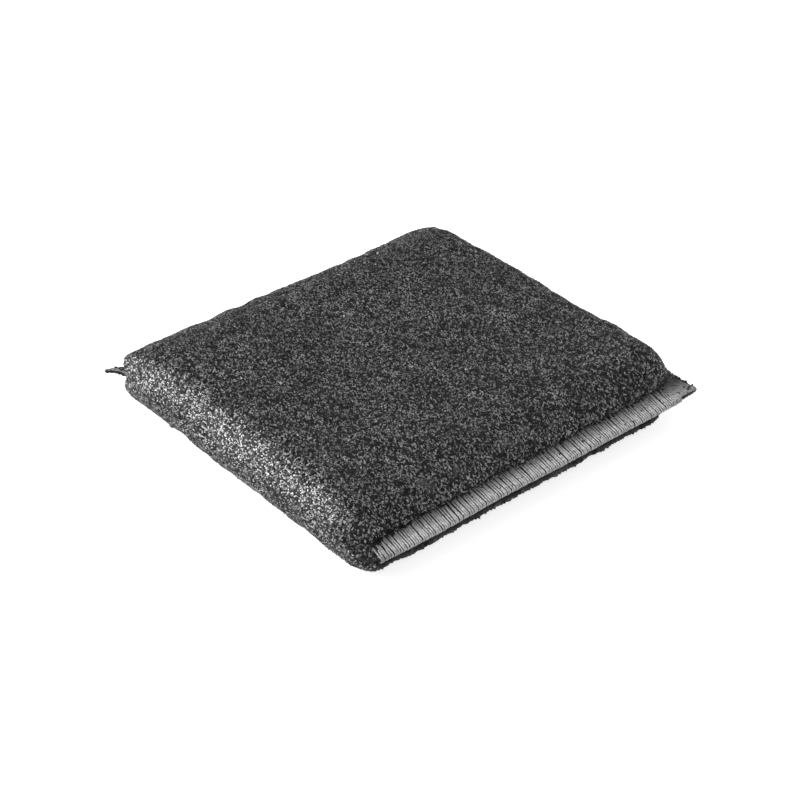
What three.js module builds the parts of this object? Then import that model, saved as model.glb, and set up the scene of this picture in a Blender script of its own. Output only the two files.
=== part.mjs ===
// Scouring sponge: a foam block inside a tube of knitted metallised cloth. The tube is flattened at both ends
// and its two lips are overlocked together there, so that a narrow flat flange stands out of each end.
// Millimetres, +Z up. X runs along the tube from seam to seam, and Y across it from fold to fold.
// The origin is on the surface that the pad lies on, under the middle of the pad.
import * as THREE from "three";
import { LoftGeometry } from "three/addons/geometries/LoftGeometry.js";

// Driving dimensions
const PAD_WIDTH = 106; // across the tube, fold to fold
const PAD_THICKNESS = 16; // underside to top
const FOAM_LENGTH = 84; // the foam block, along the tube
const CLOTH = 0.8; // thickness of the knitted cloth
const SEAM_BITE = 5; // how far the overlock reaches in from the cut edge of the lips
const SEAM_MARGIN = 0.8; // flat of the lips between the overlock and the body
const SEAM_THREAD = 0.4; // thickness of the layer of overlock thread

// Roundings of the soft body
const END_ROUND = 8; // along the tube, from full thickness down to the closed lips
const FOLD_ROUND = 10; // across the tube, from the flat of a face out to the fold
const CORNER_ROUND = 18; // the same where a fold runs into a seam, so the corners round off in plan
const END_NIP = 1.2; // empty wedge between the end of the foam and the closed lips
const LIP_RUN = 0.4; // over which the body flattens into the lips

// Clearances
const LIP_GAP = 0.2; // between the two lips
const FOAM_CLEARANCE = 0.3; // between the foam and the cloth round it
const SEAM_CLEARANCE = 0.3; // between the lips and the thread round them

// Facets
const FOLD_STEPS = 6; // in each quarter of a ring
const END_STEPS = 7; // along each rounded end
const THREAD_STEPS = 4; // in each rounded edge of a seam

// Levels and stations that follow from the dimensions
const HALF_THICKNESS = PAD_THICKNESS / 2;
const SEAM_HEIGHT = HALF_THICKNESS;
const LIP_HALF = CLOTH + LIP_GAP / 2;
const ROOT_X = FOAM_LENGTH / 2 + END_NIP + FOAM_CLEARANCE + CLOTH; // where the lips close
const FLAT_X = ROOT_X - END_ROUND; // end of the full thickness
const SEAM_ALLOWANCE = SEAM_BITE + SEAM_MARGIN; // flat width of the two lips outside the body
const LIP_X = ROOT_X + SEAM_ALLOWANCE; // cut edge of the lips

// How far a skin of the pad lies inside the outside of the cloth
const CLOTH_OUTSIDE = 0;
const CLOTH_INSIDE = CLOTH;
const FOAM_OUTSIDE = CLOTH + FOAM_CLEARANCE;

const clothMaterial = new THREE.MeshStandardMaterial({ color: 0x3b3b39, roughness: 0.55, metalness: 0.6 });
const threadMaterial = new THREE.MeshStandardMaterial({ color: 0x9a9a97, roughness: 0.6, metalness: 0.1 });
const foamMaterial = new THREE.MeshStandardMaterial({ color: 0x4d4d4a, roughness: 0.95, metalness: 0 });

// One ring round the tube at x: flat above and below, with an elliptical fold at each side.
function ring(x, halfWidth, halfHeight, fold) {
  const points = [];
  for (let quarter = 0; quarter < 4; quarter++) {
    const side = quarter === 0 || quarter === 3 ? 1 : -1;
    const first = quarter === 2 ? 1 : 0;
    const last = quarter === 3 ? FOLD_STEPS - 1 : FOLD_STEPS;
    for (let step = first; step <= last; step++) {
      const angle = (Math.PI / 2) * (quarter + step / FOLD_STEPS);
      const y = side * (halfWidth - fold) + fold * Math.cos(angle);
      const z = SEAM_HEIGHT + halfHeight * Math.sin(angle);
      points.push(new THREE.Vector3(x, y, z));
    }
  }
  return points;
}

// The ring of the stuffed body at x, on a skin that lies inset inside the outside of the cloth.
function bodyRing(x, inset) {
  const run = THREE.MathUtils.clamp((Math.abs(x) - FLAT_X) / (END_ROUND - inset), 0, 1);
  const lip = Math.max(0, LIP_HALF - inset);
  const halfHeight = lip + (HALF_THICKNESS - inset - lip) * Math.sqrt(1 - run * run);
  const fold = THREE.MathUtils.lerp(FOLD_ROUND, CORNER_ROUND, run * run) - inset;
  return ring(x, PAD_WIDTH / 2 - inset, halfHeight, fold);
}

// The ring of the flat lips at x, on the same kind of skin.
function lipRing(x, inset) {
  const half = LIP_HALF - inset;
  return ring(x, PAD_WIDTH / 2 - inset, half, half);
}

// Stations of a skin from one end of the body to the other, closer together where it turns down.
// The skin stops short of the point where it would close by the given distance.
function bodyStations(inset, short) {
  const reach = END_ROUND - inset;
  const lastAngle = Math.asin(1 - short / reach);
  const stations = [];
  for (let step = 0; step <= END_STEPS; step++) {
    stations.push(FLAT_X + reach * Math.sin((lastAngle * step) / END_STEPS));
  }
  return [...stations.map((x) => -x).reverse(), ...stations];
}

// One skin of the cloth, from the cut edge of the rear lips to the cut edge of the front lips.
function clothSkin(inset) {
  const root = ROOT_X - inset;
  const lips = [root + LIP_RUN, LIP_X];
  const rear = lips.map((x) => lipRing(-x, inset)).reverse();
  const body = bodyStations(inset, 0).map((x) => bodyRing(x, inset));
  const front = lips.map((x) => lipRing(x, inset));
  return [...rear, ...body, ...front];
}

// The cloth: out along its outside, round the cut edge of the lips, back along its inside, and closed on itself.
function scouringCover() {
  const outside = clothSkin(CLOTH_OUTSIDE);
  const inside = clothSkin(CLOTH_INSIDE).reverse();
  return new LoftGeometry([...outside, ...inside, outside[0]]);
}

// The block that fills the cover, with its edges pressed round by the cloth.
function foamCore() {
  const stations = bodyStations(FOAM_OUTSIDE, END_NIP);
  const rings = stations.map((x) => bodyRing(x, FOAM_OUTSIDE));
  return new LoftGeometry(rings, { capStart: true, capEnd: true });
}

// The overlock thread: a thin layer over both lips that wraps their cut edge, open towards the body.
function seamThread() {
  const inner = LIP_HALF + SEAM_CLEARANCE;
  const outer = inner + SEAM_THREAD;
  const profile = new THREE.Shape();
  profile.moveTo(-SEAM_BITE, inner);
  profile.lineTo(SEAM_CLEARANCE, inner);
  profile.lineTo(SEAM_CLEARANCE, -inner);
  profile.lineTo(-SEAM_BITE, -inner);
  profile.lineTo(-SEAM_BITE, -outer);
  profile.absarc(SEAM_CLEARANCE, -inner, SEAM_THREAD, -Math.PI / 2, 0);
  profile.absarc(SEAM_CLEARANCE, inner, SEAM_THREAD, 0, Math.PI / 2);
  profile.lineTo(-SEAM_BITE, outer);
  const settings = { depth: PAD_WIDTH, bevelEnabled: false, curveSegments: THREAD_STEPS };
  const geometry = new THREE.ExtrudeGeometry(profile, settings);
  return geometry.rotateX(Math.PI / 2).translate(LIP_X, PAD_WIDTH / 2, SEAM_HEIGHT);
}

function piece(name, geometry, material) {
  const mesh = new THREE.Mesh(geometry, material);
  mesh.name = name;
  return mesh;
}

const sponge = new THREE.Group();
sponge.add(piece("foam_core", foamCore(), foamMaterial));
sponge.add(piece("scouring_cover", scouringCover(), clothMaterial));
sponge.add(piece("front_seam_thread", seamThread(), threadMaterial));
const rearSeam = piece("rear_seam_thread", seamThread(), threadMaterial);
rearSeam.rotation.z = Math.PI;
sponge.add(rearSeam);

export default sponge;
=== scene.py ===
import math

import bpy
import numpy as np
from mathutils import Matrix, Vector


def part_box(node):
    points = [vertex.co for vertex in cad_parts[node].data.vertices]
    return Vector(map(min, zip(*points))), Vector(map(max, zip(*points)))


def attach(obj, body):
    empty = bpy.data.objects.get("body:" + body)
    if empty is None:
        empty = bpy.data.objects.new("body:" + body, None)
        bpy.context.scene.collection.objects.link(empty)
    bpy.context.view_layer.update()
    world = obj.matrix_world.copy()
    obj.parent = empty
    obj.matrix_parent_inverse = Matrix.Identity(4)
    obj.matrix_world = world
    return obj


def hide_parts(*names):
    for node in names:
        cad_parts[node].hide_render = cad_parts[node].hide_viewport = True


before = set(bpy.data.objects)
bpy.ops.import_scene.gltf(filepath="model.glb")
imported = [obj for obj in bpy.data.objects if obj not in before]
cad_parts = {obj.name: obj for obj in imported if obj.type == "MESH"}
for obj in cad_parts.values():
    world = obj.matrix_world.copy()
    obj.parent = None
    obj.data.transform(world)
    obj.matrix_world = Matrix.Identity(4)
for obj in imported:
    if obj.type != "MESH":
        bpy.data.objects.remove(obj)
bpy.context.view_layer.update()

rng = np.random.default_rng(41)

# Lengths are in millimetres until a mesh is made.
MM = 0.001

# Sizes taken from the frame
cover_high = np.array(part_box("scouring_cover")[1]) / MM
seam_low, seam_high = (np.array(corner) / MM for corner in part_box("front_seam_thread"))
FOLD_SWELL = 0.35
LIP_EDGE = cover_high[0]
HALF_WIDTH = cover_high[1] + FOLD_SWELL
HALF_THICKNESS = cover_high[2] / 2
SEAM_LEVEL = (seam_low[2] + seam_high[2]) / 2
STITCH_INNER = seam_low[0]

# Form of the stuffed body
LIP = 0.55
SEAM_MARGIN = 0.8
ROOT = STITCH_INNER - SEAM_MARGIN
FULL_END = 7.5
SLOPED_END = 10.0
FOLD_RUN = 7.0
UPPER_FULLNESS = 0.5
LOWER_FULLNESS = 0.46
SLOPE_FULLNESS = 0.72
END_SWELL = 6.2
FRONT_SWELL = 5.8
TAPER_START = 14.0
TAPER_END = 5.0
ROUND_CORNER = 2.2
EVEN_CORNER = 2.8
SQUARE_CORNER = 7.0
PILE = 0.3
BLEND = 4
FLAT_POINTS = 40
FOLD_POINTS = 160
DROP_POINTS = 200

# Shares of stuffing below which a place counts as lip, as sewn and as held fast
LIP_SHARE = 0.01
SEWN_SHARE = 0.02
HELD_SHARE = 0.05

# Unevenness of the body and the lips
CROWN = 0.3
UNEVENNESS = 0.2
UNEVEN_LENGTH = 26
CORNER_LIFT = 0.6
LIFT_START = 10
LIFT_END = 40
RUFFLE = 0.17
RUFFLE_LENGTH = 9.0
RUFFLE_SHEAR_X = 1.3
RUFFLE_SHEAR_Y = 0.7
RUFFLE_GROWTH = 4
RUFFLE_FADE = 4
LIP_WAVE = 0.25
LIP_WAVE_LENGTH = 45
LIP_WAVE_PLACE = 40

# Corners of the lips
TRIM = 5.0
EAR_DIRECTION = np.array([-0.649, -0.760])
EAR_BASE = 5.5
EAR_STRETCH = 1.45
EAR_SQUEEZE = 0.68
EAR_LIFT = 0.6
EAR_BLEND = 3

# Cloth simulation
COARSE = 4
SIMULATION_SCALE = 10
SIMULATION_FRAMES = 20
LARGEST_MOVE = 0.9
LOOSE_HOLD = 0.25
PRESSURE = 4

# Knit
ALONG_CELLS = 208
GIRTH_CELLS = 448
LOOP_RELIEF = 0.15
STITCH_RELIEF = 0.08

# Metallised film yarn
FILM_COUNT = 48000
FILM_HALF_LENGTH = 0.32
FILM_WIDTH = 0.26
FILM_RISE = 0.12
FILM_DROOP = 1.6
FILM_LIFT = 0.12
HEADING_SPREAD = 0.7
TILT_SPREAD = 0.15
# Beyond this distance, below the seam, film is left out so that the bare dark ground stands in as painted
# shade under the lips
SHADE_BARE_FROM = 42.0
DOWNWARD = -0.1
FOLD_SHOWN = 4

# Overlock seam
SEAM_START = 4.5 - HALF_WIDTH
SEAM_END = 48.0
STITCH_PITCH = 1.3
STITCH_SLANT = -0.9
STITCH_JITTER = 0.12
DEEPER_BITE = 1.4
SHALLOWER_BITE = 1.2
TIGHTEST = -0.02
LOOSEST = 0.08
INNER_TURN = 0.4
TOP_POINTS = 10
EDGE_POINTS = 5
UNDER_POINTS = 8
THROUGH_POINTS = 3
SHORTENING = 2.2
SHORT_RUN = 7
SHORTEST_STITCH = 1.2
STRANDS = 2
STRAND_WIDTH = 0.25
STRAND_SPACING = 0.65
STRAND_THICKNESS = 0.14
STRAND_SIDES = 6

# Fibres on the far corner of the lips
EAR_FIBRES = 60
EAR_REACH = 8
EAR_INSET = 0.5
FIBRE_POINTS = 8
FIBRE_SPREAD = 0.3
FIBRE_BEND = 0.25
FIBRE_LIFT = 0.08
FIBRE_DIP = 0.3
FIBRE_MARGIN = 0.2

# Camera, from the photograph's perspective
CAMERA_AZIMUTH = 49.5
CAMERA_ELEVATION = 35.4
CAMERA_DISTANCE = 506.0
CAMERA_LENS = 90.0
CAMERA_SENSOR = 36.0
AIM_RIGHT = -1.13
AIM_UP = 1.71


# Form
def smoothstep(value, start, end):
    share = np.clip((value - start) / (end - start), 0, 1)
    return share * share * (3 - 2 * share)


def resample(points, cells):
    """The same polyline with its points at equal distances."""
    lengths = np.linalg.norm(np.diff(points[:, :3], axis=0), axis=1)
    run = np.concatenate([[0], np.cumsum(lengths)])
    wanted = np.linspace(0, run[-1], cells + 1)
    return np.stack([np.interp(wanted, run, column) for column in points.T], axis=1)


def waves(x, y, count, length, seed):
    """A smooth unevenness of about unit height and the given wave length."""
    source = np.random.default_rng(seed)
    total = np.zeros_like(x)
    for _ in range(count):
        angle = source.uniform(0, math.tau)
        number = math.tau / length * source.uniform(0.6, 1.4)
        phase = source.uniform(0, math.tau)
        total += np.sin(number * (x * math.cos(angle) + y * math.sin(angle)) + phase)
    return total / math.sqrt(count)


def bulge(run, side, fullness, corner):
    """Height of the stuffed body, from 0 to 1, where run and side go from the flat top to the outline."""
    reach = (run**corner + side**corner) ** (1 / corner)
    return np.clip(1 - reach**2, 0, None) ** fullness


def end_stations(cells):
    """Places from the middle of the pad to the cut edge of the lips, closer where the end drops."""
    turn = np.linspace(0, math.pi / 2, DROP_POINTS)
    x = ROOT - FULL_END * (1 - np.sin(turn))
    drop = np.stack([x, HALF_THICKNESS * np.cos(turn), 0 * turn], axis=1)
    middle = np.array([[0, HALF_THICKNESS, 0]])
    edge = np.array([[LIP_EDGE, 0, 0]])
    return resample(np.concatenate([middle, drop, edge]), cells)[:, 0]


def half_section(x, y, end, fullness, corner, swell):
    """One half of a ring, top or underside, as x, y, the height from the seam and the share of stuffing."""
    run = np.clip(1 - (ROOT - x) / end, 0, 1)
    side = np.clip(1 - (HALF_WIDTH - y) / FOLD_RUN, 0, 1)
    body = bulge(run, side, fullness(run), corner)
    edge = np.clip(1 - (HALF_WIDTH - y) / LIP, 0, 1)
    lips = LIP / HALF_THICKNESS * np.sqrt(1 - edge**2)
    height = (body**BLEND + lips**BLEND) ** (1 / BLEND)
    push = swell * smoothstep(run, 0, 1) * np.sin(math.pi * body) * np.sqrt(1 - side**4)
    return np.stack([x + push, y, HALF_THICKNESS * height, body], axis=1)


def half_ring(x, front, right, cells):
    """One ring's half: from the middle of the top round the fold to the middle of the underside."""
    flat = np.linspace(0, HALF_WIDTH - FOLD_RUN, FLAT_POINTS)[:-1]
    fold = HALF_WIDTH - FOLD_RUN * (1 - np.sin(np.linspace(0, math.pi / 2, FOLD_POINTS)))
    y = np.concatenate([flat, fold])
    if front:
        corner = ROUND_CORNER if right else EVEN_CORNER
        upper = half_section(x, y, SLOPED_END, slope_fullness, ROUND_CORNER, 0)
    else:
        corner = EVEN_CORNER if right else SQUARE_CORNER
        upper = half_section(x, y, FULL_END, lambda run: UPPER_FULLNESS, corner, END_SWELL)
    swell = FRONT_SWELL if front else END_SWELL
    if front and right:
        swell = swell * smoothstep(HALF_WIDTH - y, TAPER_END, TAPER_START)
    lower = half_section(x, y, FULL_END, lambda run: LOWER_FULLNESS, corner, swell)
    return resample(np.concatenate([upper, lower[-2::-1] * [1, 1, -1, 1]]), cells)


def slope_fullness(run):
    return UPPER_FULLNESS + (SLOPE_FULLNESS - UPPER_FULLNESS) * run


def pad_form():
    """Points of the pad's smooth form and their share of stuffing, by place along the tube and round it."""
    half_girth = GIRTH_CELLS // 2
    stations = end_stations(ALONG_CELLS // 2)
    sides = []
    for right in (True, False):
        front = np.array([half_ring(x, True, right, half_girth) for x in stations])
        rear = np.array([half_ring(x, False, right, half_girth) for x in stations]) * [-1, 1, 1, 1]
        sides.append(np.concatenate([rear[:0:-1], front]))
    points = np.concatenate([sides[0], sides[1][:, -2:0:-1] * [1, -1, 1, 1]], axis=1)
    stuffing = points[..., 3]
    points = points[..., :3]
    on_lips = stuffing < LIP_SHARE
    points[on_lips] = draw_ear(trim_corners(points[on_lips]))
    return ruffled(settle(points), stuffing), stuffing


def ruffled(points, stuffing):
    """The form with the small bumps of the body, which die out on the lips."""
    x, y, z = np.moveaxis(points, -1, 0)
    body = np.clip(RUFFLE_GROWTH * stuffing + (ROOT - np.abs(x)) / RUFFLE_FADE, 0, 1)
    across = x + RUFFLE_SHEAR_X * z
    aside = y + RUFFLE_SHEAR_Y * z
    ruffle = RUFFLE * body * waves(across, aside, count=12, length=RUFFLE_LENGTH, seed=9)
    return points + outward(points) * ruffle[..., None]


def lip_edge(y):
    """Where the cut edge of the front lips is, with their left corner cut round."""
    inset = np.clip(-y - (HALF_WIDTH - TRIM), 0, TRIM)
    return LIP_EDGE - TRIM + np.sqrt(TRIM**2 - inset**2)


def trim_corners(points):
    x, y, z = points.T
    turn = np.sign(x)
    share = (lip_edge(y * turn) - ROOT) / (LIP_EDGE - ROOT)
    out = np.abs(x) - ROOT
    x = np.where(out > 0, turn * (ROOT + out * share), x)
    return np.stack([x, y, z], axis=1)


def draw_ear(points):
    """The rear left corner of the lips, drawn out to a narrow point."""
    aside_way = np.array([-EAR_DIRECTION[1], EAR_DIRECTION[0]])
    base = np.array([-LIP_EDGE, -HALF_WIDTH]) - EAR_DIRECTION * EAR_BASE
    plan = points[:, :2] - base
    ahead = plan @ EAR_DIRECTION
    aside = plan @ aside_way
    near = (points[:, 0] < 0) & (points[:, 1] < 0)
    drawn = smoothstep(ahead, 0, EAR_BLEND) * near
    ahead = ahead * (1 + (EAR_STRETCH - 1) * drawn)
    aside = aside * (1 - EAR_SQUEEZE * drawn)
    plan = base + ahead[:, None] * EAR_DIRECTION + aside[:, None] * aside_way
    return np.column_stack([plan, points[:, 2] + EAR_LIFT * drawn])


def lip_lift(x, y):
    """How far the sewn lips wander up and down."""
    wander = waves(np.sign(x) * LIP_WAVE_PLACE, y, count=3, length=LIP_WAVE_LENGTH, seed=5)
    return LIP_WAVE * smoothstep(np.abs(x), ROOT, LIP_EDGE) * wander


def settle(points):
    """The form at its height, with the crown and unevenness of the top and the wandering lips."""
    x, y, z = np.moveaxis(points, -1, 0)
    above = np.clip(z / HALF_THICKNESS, 0, 1)
    crown = CROWN * (1 - (x / LIP_EDGE) ** 2) * (1 - (y / HALF_WIDTH) ** 2)
    crown = crown + UNEVENNESS * waves(x, y, count=8, length=UNEVEN_LENGTH, seed=3)
    lift = CORNER_LIFT * smoothstep(-x, LIFT_START, LIFT_END) * smoothstep(-y, LIFT_START, LIFT_END)
    z = z * (1 - PILE / HALF_THICKNESS) + SEAM_LEVEL + above * (crown + lift) + lip_lift(x, y)
    return np.stack([x, y, z], axis=-1)


def steps(points):
    """How far each point of a form is from the next, along the tube and round it."""
    along = np.gradient(points, axis=0)
    girth = (np.roll(points, -1, axis=1) - np.roll(points, 1, axis=1)) / 2
    return along, girth


def outward(points):
    along, girth = steps(points)
    return unit(np.cross(along, girth))


def unit(vectors):
    return vectors / (np.linalg.norm(vectors, axis=-1, keepdims=True) + 1e-9)


# Cloth simulation
def held_cloth(coarse, stuffing):
    """A coarse cloth over the form, held fast at the sewn lips and loosely over the foam."""
    rows, columns = stuffing.shape
    mesh = bpy.data.meshes.new("cloth")
    points = coarse.reshape(-1, 3) * MM * SIMULATION_SCALE
    mesh.from_pydata(points.tolist(), [], tube_faces(rows, columns).tolist())
    cloth = bpy.data.objects.new("cloth", mesh)
    bpy.context.collection.objects.link(cloth)
    held = cloth.vertex_groups.new(name="held")
    for index, share in enumerate(stuffing.ravel()):
        held.add([index], 1.0 if share < HELD_SHARE else LOOSE_HOLD, "REPLACE")
    settings = cloth.modifiers.new("cloth", "CLOTH").settings
    settings.vertex_group_mass = "held"
    settings.quality = 6
    settings.mass = 0.3
    settings.tension_stiffness = 15
    settings.compression_stiffness = 15
    settings.bending_stiffness = 0.5
    settings.use_pressure = True
    settings.uniform_pressure_force = PRESSURE
    settings.effector_weights.gravity = 0
    return cloth


def relax(points, stuffing):
    """The form after its cloth has taken up its own tension against the stuffing."""
    coarse = points[::COARSE, ::COARSE]
    cloth = held_cloth(coarse, stuffing[::COARSE, ::COARSE])
    for number in range(1, SIMULATION_FRAMES + 1):
        bpy.context.scene.frame_set(number)
    settled = cloth.evaluated_get(bpy.context.evaluated_depsgraph_get()).data
    found = np.empty(coarse.size)
    settled.vertices.foreach_get("co", found)
    bpy.data.objects.remove(cloth)
    move = found.reshape(coarse.shape) / MM / SIMULATION_SCALE - coarse
    length = np.linalg.norm(move, axis=-1, keepdims=True)
    move *= LARGEST_MOVE * np.tanh(length / LARGEST_MOVE) / (length + 1e-9)
    return points + refine(move)


def refine(grid):
    """A coarse grid's values on the fine grid."""
    grid = np.concatenate([grid, grid[:, :1]], axis=1)
    for axis in (0, 1):
        cells = grid.shape[axis] - 1
        place = np.arange(cells * COARSE + 1) / COARSE
        low = np.minimum(place.astype(int), cells - 1)
        share = (place - low).reshape((-1, 1, 1) if axis == 0 else (1, -1, 1))
        share = share * share * (3 - 2 * share)
        grid = np.take(grid, low, axis) * (1 - share) + np.take(grid, low + 1, axis) * share
    return grid[:, :-1]


# Meshes
def mesh_piece(name, points, faces, material):
    mesh = bpy.data.meshes.new(name)
    mesh.from_pydata((points * MM).tolist(), [], faces.tolist())
    mesh.materials.append(material)
    mesh.shade_smooth()
    piece = bpy.data.objects.new(name, mesh)
    bpy.context.collection.objects.link(piece)
    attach(piece, "root")
    return piece


def tube_faces(rows, columns):
    """Quads of a grid whose columns close on themselves."""
    index = np.arange(rows * columns).reshape(rows, columns)
    following = np.roll(index, -1, axis=1)
    quads = np.stack([index[:-1], index[1:], following[1:], following[:-1]], axis=-1)
    return quads.reshape(-1, 4)


def lip_caps(rows, columns):
    """Quads that close the cut edge of the lips at both ends of the tube."""
    quarter = columns // 4
    upper = np.arange(-quarter, quarter + 1)
    lower = columns // 2 - upper
    rear = np.stack([upper[:-1] % columns, upper[1:] % columns, lower[1:], lower[:-1]], axis=1)
    front = rear[:, ::-1] + (rows - 1) * columns
    return np.concatenate([rear, front])


def knit_cover(points, material):
    rows, columns = points.shape[:2]
    wale = np.cos(math.pi * np.arange(columns))[None, :]
    course = np.cos(math.pi * np.arange(rows))[:, None]
    relief = STITCH_RELIEF * wale * course + LOOP_RELIEF * rng.normal(size=(rows, columns))
    knit = points + outward(points) * relief[..., None]
    knit[..., 2] = np.maximum(knit[..., 2], 0)
    faces = np.concatenate([tube_faces(rows, columns), lip_caps(rows, columns)])
    return mesh_piece("knitted_cover", knit.reshape(-1, 3), faces, material)


def film_yarn(name, points, stuffing, material):
    """Small bent ribbons of film that lie in the knit, except where it is sewn, and on the lower part of the
    ends below the seam, which is left bare so that its dark ground shows as painted shade under the lips.
    """
    along, girth = steps(points)
    out = outward(points)
    x, y, z = np.moveaxis(points, -1, 0)
    facing_down = (out[..., 2] < DOWNWARD) & (np.abs(y) < HALF_WIDTH - FOLD_SHOWN)
    # Painted shade: no film on the lower front end or on the downward faces of the ends, so that the dark
    # ground reads as the shadow under the lips
    bare_for_shade = (np.abs(x) > SHADE_BARE_FROM) & (z < SEAM_LEVEL) & (facing_down | (x > 0) & (y > SEAM_START))
    sewn = (stuffing < SEWN_SHARE) & (np.abs(x) > ROOT) & (y * np.sign(x) > SEAM_START)
    area = np.linalg.norm(np.cross(along, girth), axis=-1) * ~sewn * ~bare_for_shade
    chosen = rng.choice(area.size, FILM_COUNT, p=area.ravel() / area.sum())

    def vary(low, high):
        return rng.uniform(low, high, FILM_COUNT)[:, None]

    def spread(width):
        return rng.normal(0, width, FILM_COUNT)[:, None]

    base, along, girth, out = (grid.reshape(-1, 3)[chosen] for grid in (points, along, girth, out))
    base = base + along * vary(-0.5, 0.5) + girth * vary(-0.5, 0.5) + out * FILM_LIFT
    along = unit(along)
    girth = np.cross(out, along)
    heading = spread(HEADING_SPREAD)
    twist = spread(TILT_SPREAD)
    length = FILM_HALF_LENGTH * vary(0.7, 1.3)
    width = FILM_WIDTH / 2 * vary(0.6, 1.3)
    rise = FILM_RISE * vary(0.4, 1.5)
    forward = along * np.cos(heading) + girth * np.sin(heading) + out * spread(TILT_SPREAD)
    across = girth * np.cos(heading) - along * np.sin(heading)
    across = across * np.cos(twist) + out * np.sin(twist)
    rows = []
    for place in (-1, 0, 1):
        middle = base + forward * length * place + out * rise * (1 - FILM_DROOP * place**2)
        rows.append(np.stack([middle - across * width, middle + across * width], axis=1))
    ribbon = np.stack(rows, axis=1)
    ribbon[..., 2] = np.maximum(ribbon[..., 2], 0)
    quads = np.array([[0, 2, 3, 1], [2, 4, 5, 3]])
    faces = (np.arange(FILM_COUNT)[:, None, None] * 6 + quads).reshape(-1, 4)
    return mesh_piece(name, ribbon.reshape(-1, 3), faces, material)


# Overlock seam
def stitch_round():
    """One stitch: over the lips, round their edge, back under them and up through.

    Returns its place across the lips, its overhang and height in thread reaches, its advance along the seam
    and how far it faces outwards.
    """
    top = np.linspace(0, 1, TOP_POINTS, endpoint=False)
    edge = np.linspace(0, math.pi, EDGE_POINTS, endpoint=False)
    under = np.linspace(1, 0, UNDER_POINTS, endpoint=False)
    through = np.linspace(0, math.pi, THROUGH_POINTS, endpoint=False)
    across = np.concatenate([top, 0 * edge + 1, under, 0 * through])
    overhang = np.concatenate([0 * top, np.sin(edge), 0 * under, -INNER_TURN * np.sin(through)])
    height = np.concatenate([0 * top + 1, np.cos(edge), 0 * under - 1, -np.cos(through)])
    back = STITCH_PITCH + (STITCH_SLANT - STITCH_PITCH) * under
    advance = np.concatenate([STITCH_SLANT * top, 0 * edge + STITCH_SLANT, back, 0 * through + STITCH_PITCH])
    out_x = np.concatenate([0 * top, np.sin(edge), 0 * under, -np.sin(through)])
    return across, overhang, height, advance, out_x


def overlock_strand(offset):
    """One strand of the overlock thread round the front lips."""
    across, overhang, height, advance, out_x = stitch_round()
    start = np.arange(SEAM_START, SEAM_END, STITCH_PITCH)[:, None] + offset
    start = start + rng.uniform(-STITCH_JITTER, STITCH_JITTER, start.shape)
    y = start + advance
    edge = lip_edge(start)
    short = SHORTENING * smoothstep(SEAM_START - start, -SHORT_RUN, 0)
    inner = STITCH_INNER + short + rng.uniform(-DEEPER_BITE, SHALLOWER_BITE, start.shape)
    inner = np.minimum(inner, edge - SHORTEST_STITCH)
    reach = LIP + STRAND_THICKNESS + rng.uniform(TIGHTEST, LOOSEST, start.shape)
    x = inner + (edge - inner) * across + reach * overhang
    z = SEAM_LEVEL + reach * height + lip_lift(x, y)
    path = np.stack([x, y, z], axis=-1).reshape(-1, 3)
    out = np.stack([0 * y + out_x, 0 * y, 0 * y + height], axis=-1).reshape(-1, 3)
    return flat_tube(path, out)


def ear_fibres():
    """Fibres on the lips' far corner that run together at its tip, one in three of them underneath."""
    tubes = []
    for number in range(EAR_FIBRES):
        face = 1 if number % 3 else -1
        share = np.linspace(0, 1, FIBRE_POINTS)
        turn = rng.uniform(0, math.pi / 2)
        inward = EAR_REACH * np.array([math.sin(turn), math.cos(turn)])
        start = np.array([LIP_EDGE, HALF_WIDTH - EAR_INSET]) - inward
        start = start + rng.normal(0, FIBRE_SPREAD, 2)
        tip = np.array([LIP_EDGE - EAR_INSET, HALF_WIDTH - EAR_INSET]) + rng.normal(0, FIBRE_SPREAD, 2)
        middle = (start + tip) / 2 + rng.normal(0, FIBRE_BEND, 2)
        weights = np.stack([(1 - share) ** 2, 2 * share * (1 - share), share**2], axis=1)
        plan = weights @ np.stack([start, middle, tip])
        height = LIP + FIBRE_LIFT - FIBRE_DIP * share**3
        z = SEAM_LEVEL + face * height + lip_lift(plan[:, 0], plan[:, 1])
        out = np.tile([0.0, 0.0, face], (FIBRE_POINTS, 1))
        plan = np.minimum(plan, [LIP_EDGE, HALF_WIDTH - FIBRE_MARGIN])
        tubes.append(flat_tube(np.column_stack([plan, z]), out))
    return tubes


def flat_tube(path, out):
    """A strand of oval section along a path, lying flat on the surface that out points away from."""
    tangent = unit(np.gradient(path, axis=0))
    across = unit(np.cross(tangent, out))
    rise = np.cross(across, tangent)
    angle = np.arange(STRAND_SIDES) * math.tau / STRAND_SIDES
    wide = STRAND_WIDTH * np.cos(angle)[None, :, None] * across[:, None]
    thick = STRAND_THICKNESS * np.sin(angle)[None, :, None] * rise[:, None]
    return (path[:, None] + wide + thick).reshape(-1, 3), tube_faces(len(path), STRAND_SIDES)


def join(tubes):
    counts = np.cumsum([0] + [len(points) for points, _ in tubes])
    points = np.concatenate([points for points, _ in tubes])
    faces = np.concatenate([faces + count for (_, faces), count in zip(tubes, counts)])
    return points, faces


def overlock(name, turn, material):
    strands = [overlock_strand(STRAND_SPACING * number) for number in range(STRANDS)]
    points, faces = join(strands + ear_fibres())
    points = draw_ear(points * [turn, turn, 1])
    return mesh_piece(name, points, faces, material)


# Materials
def new_material(name):
    material = bpy.data.materials.new(name)
    material.use_nodes = True
    nodes = material.node_tree.nodes
    return material, nodes, material.node_tree.links, nodes["Principled BSDF"]


def noise(nodes, links, scale, detail=2.0):
    place = nodes.new("ShaderNodeTexCoord")
    texture = nodes.new("ShaderNodeTexNoise")
    texture.inputs["Scale"].default_value = scale
    texture.inputs["Detail"].default_value = detail
    links.new(place.outputs["Object"], texture.inputs["Vector"])
    return texture.outputs["Fac"]


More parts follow.
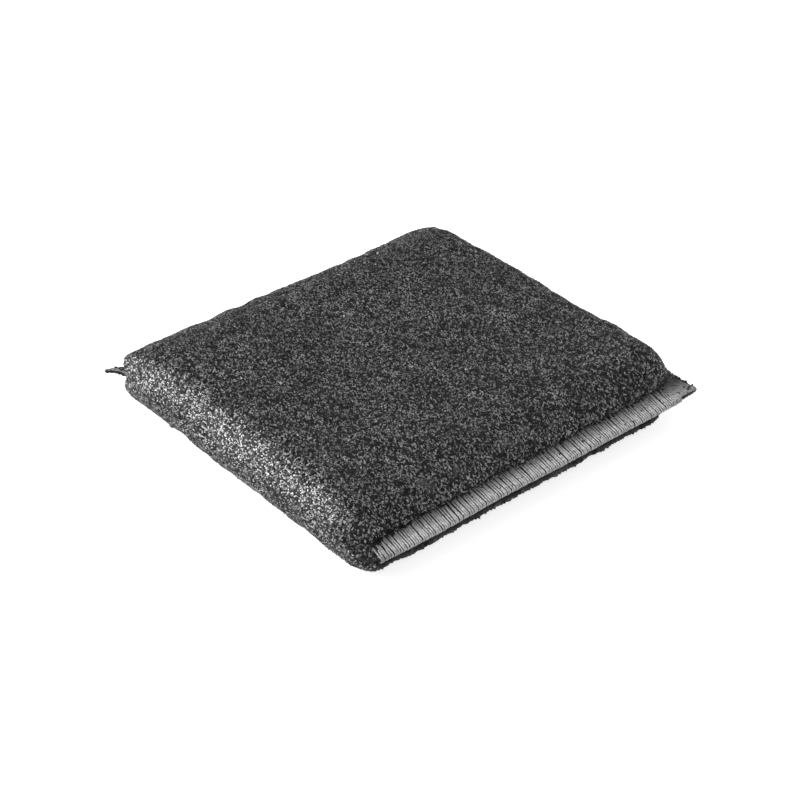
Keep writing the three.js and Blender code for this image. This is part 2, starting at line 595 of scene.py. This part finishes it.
def ramp(nodes, links, source, stops):
    node = nodes.new("ShaderNodeValToRGB")
    elements = node.color_ramp.elements
    for element, (position, colour) in zip((elements[0], elements[1]), (stops[0], stops[-1])):
        element.position = position
        element.color = (*colour, 1)
    for position, colour in stops[1:-1]:
        elements.new(position).color = (*colour, 1)
    links.new(source, node.inputs["Fac"])
    return node.outputs["Color"]


def bump(nodes, links, source, shader, distance, strength):
    node = nodes.new("ShaderNodeBump")
    node.inputs["Distance"].default_value = distance
    node.inputs["Strength"].default_value = strength
    links.new(source, node.inputs["Height"])
    links.new(node.outputs["Normal"], shader.inputs["Normal"])


def grey(value, warmth=0.0):
    return (value * (1 + warmth), value, value * (1 - warmth))


def cloth_material():
    material, nodes, links, shader = new_material("knit ground")
    speckle = noise(nodes, links, scale=900)
    tones = [(0.35, grey(0.005, 0.06)), (0.55, grey(0.012, 0.03)), (0.7, grey(0.036))]
    tint = ramp(nodes, links, speckle, tones)
    links.new(tint, shader.inputs["Base Color"])
    shader.inputs["Roughness"].default_value = 0.42
    shader.inputs["Specular IOR Level"].default_value = 0.22
    bump(nodes, links, noise(nodes, links, scale=2600, detail=3), shader, distance=0.0002, strength=0.6)
    return material


def film_material():
    material, nodes, links, shader = new_material("metallised film")
    island = nodes.new("ShaderNodeNewGeometry").outputs["Random Per Island"]
    tones = [(0.0, grey(0.012, 0.02)), (0.45, grey(0.088, 0.01)), (1.0, grey(0.59))]
    tint = ramp(nodes, links, island, tones)
    cloud = noise(nodes, links, scale=150, detail=5)
    patch = ramp(nodes, links, cloud, [(0.36, grey(0.7)), (0.64, grey(1.0))])
    links.new(multiply(nodes, links, tint, patch), shader.inputs["Base Color"])
    shader.inputs["Roughness"].default_value = 0.55
    shader.inputs["Metallic"].default_value = 0.9
    return material


def thread_material():
    material, nodes, links, shader = new_material("overlock thread")
    fibre = noise(nodes, links, scale=1800, detail=3)
    tint = ramp(nodes, links, fibre, [(0.3, grey(0.32)), (0.5, grey(0.56)), (0.7, grey(0.82))])
    # Painted shade: the thread is darkened towards the stitches' inner ends, where they run into the crease
    # against the body
    inner = (STITCH_INNER - 1, LIP_EDGE)
    crease_painted_shade = by_place(nodes, links, "X", inner, [(0.0, grey(0.12)), (0.4, grey(0.45)), (0.8, grey(1.0))])
    far = (SEAM_END - 5, HALF_WIDTH)
    ear = by_place(nodes, links, "Y", far, [(0.0, grey(1.0)), (0.4, grey(0.65)), (1.0, grey(0.5))])
    tint = multiply(nodes, links, multiply(nodes, links, tint, crease_painted_shade), ear)
    links.new(tint, shader.inputs["Base Color"])
    shader.inputs["Roughness"].default_value = 0.55
    bump(nodes, links, noise(nodes, links, scale=4200, detail=2), shader, distance=0.00015, strength=0.6)
    return material


def by_place(nodes, links, axis, reach, stops):
    """Tones by the distance from the middle of the pad along one axis."""
    place = nodes.new("ShaderNodeTexCoord")
    split = nodes.new("ShaderNodeSeparateXYZ")
    links.new(place.outputs["Object"], split.inputs[0])
    distance = nodes.new("ShaderNodeMath")
    distance.operation = "ABSOLUTE"
    links.new(split.outputs[axis], distance.inputs[0])
    share = nodes.new("ShaderNodeMapRange")
    share.inputs["From Min"].default_value = reach[0] * MM
    share.inputs["From Max"].default_value = reach[1] * MM
    links.new(distance.outputs[0], share.inputs["Value"])
    return ramp(nodes, links, share.outputs["Result"], stops)


def multiply(nodes, links, first, second):
    node = nodes.new("ShaderNodeMix")
    node.data_type = "RGBA"
    node.blend_type = "MULTIPLY"
    node.inputs["Factor"].default_value = 1
    links.new(first, node.inputs["A"])
    links.new(second, node.inputs["B"])
    return node.outputs["Result"]


def foam_material():
    material, nodes, links, shader = new_material("open-cell foam")
    cell = noise(nodes, links, scale=1300, detail=4)
    links.new(ramp(nodes, links, cell, [(0.3, grey(0.03)), (0.7, grey(0.12))]), shader.inputs["Base Color"])
    shader.inputs["Roughness"].default_value = 0.9
    bump(nodes, links, cell, shader, distance=0.0006, strength=0.8)
    return material


# Stage
def seen_directly(nodes, links, socket, strength):
    """A strength for what the camera sees itself, in a mirror or through glass."""
    path = nodes.new("ShaderNodeLightPath")
    seen = path.outputs["Is Camera Ray"]
    for kind in ("Is Glossy Ray", "Is Transmission Ray"):
        either = nodes.new("ShaderNodeMath")
        either.operation = "MAXIMUM"
        links.new(seen, either.inputs[0])
        links.new(path.outputs[kind], either.inputs[1])
        seen = either.outputs[0]
    scaled = nodes.new("ShaderNodeMath")
    scaled.operation = "MULTIPLY"
    scaled.inputs[1].default_value = strength
    links.new(seen, scaled.inputs[0])
    links.new(scaled.outputs[0], socket)


def floor():
    bpy.ops.mesh.primitive_plane_add(size=40)
    plane = bpy.context.object
    plane.name = "floor"
    material, nodes, links, shader = new_material("pale floor")
    shader.inputs["Base Color"].default_value = (*grey(0.72), 1)
    shader.inputs["Roughness"].default_value = 0.9
    shader.inputs["Emission Color"].default_value = (1, 1, 1, 1)
    seen_directly(nodes, links, shader.inputs["Emission Strength"], strength=0.75)
    plane.data.materials.append(material)


def aim(thing, position, target):
    thing.location = position
    thing.rotation_euler = (Vector(target) - Vector(position)).to_track_quat("-Z", "Y").to_euler()
    bpy.context.collection.objects.link(thing)


def softbox(name, direction, distance, size, power):
    light = bpy.data.lights.new(name, "AREA")
    light.size = size
    light.energy = power
    lamp = bpy.data.objects.new(name, light)
    aim(lamp, Vector(direction).normalized() * distance, (0, 0, 0))


def lighting():
    world = bpy.data.worlds.new("studio")
    bpy.context.scene.world = world
    world.use_nodes = True
    nodes, links = world.node_tree.nodes, world.node_tree.links
    place = nodes.new("ShaderNodeTexCoord")
    split = nodes.new("ShaderNodeSeparateXYZ")
    links.new(place.outputs["Generated"], split.inputs[0])
    sky = ramp(nodes, links, split.outputs["Z"], [(0.1, grey(1.0)), (0.35, grey(0.26))])
    links.new(sky, nodes["Background"].inputs["Color"])
    softbox("key", (-0.62, -0.58, 0.43), distance=0.7, size=0.55, power=6.9)
    softbox("fill", (0.7, -0.4, 0.7), distance=0.8, size=0.5, power=1.1)
    softbox("top", (-0.1, 0.7, 0.85), distance=0.8, size=0.6, power=1.2)


def photo_camera():
    azimuth, elevation = math.radians(CAMERA_AZIMUTH), math.radians(CAMERA_ELEVATION)
    level = math.cos(elevation)
    back = np.array([math.sin(azimuth) * level, -math.cos(azimuth) * level, math.sin(elevation)])
    right = np.array([math.cos(azimuth), math.sin(azimuth), 0])
    up = np.cross(back, right)
    target = AIM_RIGHT * right + AIM_UP * up
    data = bpy.data.cameras.new("photo camera")
    data.lens = CAMERA_LENS
    data.sensor_width = CAMERA_SENSOR
    camera = bpy.data.objects.new("photo camera", data)
    aim(camera, Vector(back * CAMERA_DISTANCE * MM), Vector(target * MM))
    bpy.context.scene.camera = camera


photo_camera()
lighting()
floor()
bpy.context.scene.view_settings.view_transform = "Standard"

form, stuffing = pad_form()
form = relax(form, stuffing)
film = film_material()
thread = thread_material()
cover = knit_cover(form, cloth_material())
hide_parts("scouring_cover")
for name in ("film_yarn_a", "film_yarn_b", "film_yarn_c"):
    film_yarn(name, form, stuffing, film)
front_seam = overlock("front_overlock", 1, thread)
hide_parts("front_seam_thread")
rear_seam = overlock("rear_overlock", -1, thread)
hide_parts("rear_seam_thread")
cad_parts["foam_core"].data.materials.clear()
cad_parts["foam_core"].data.materials.append(foam_material())
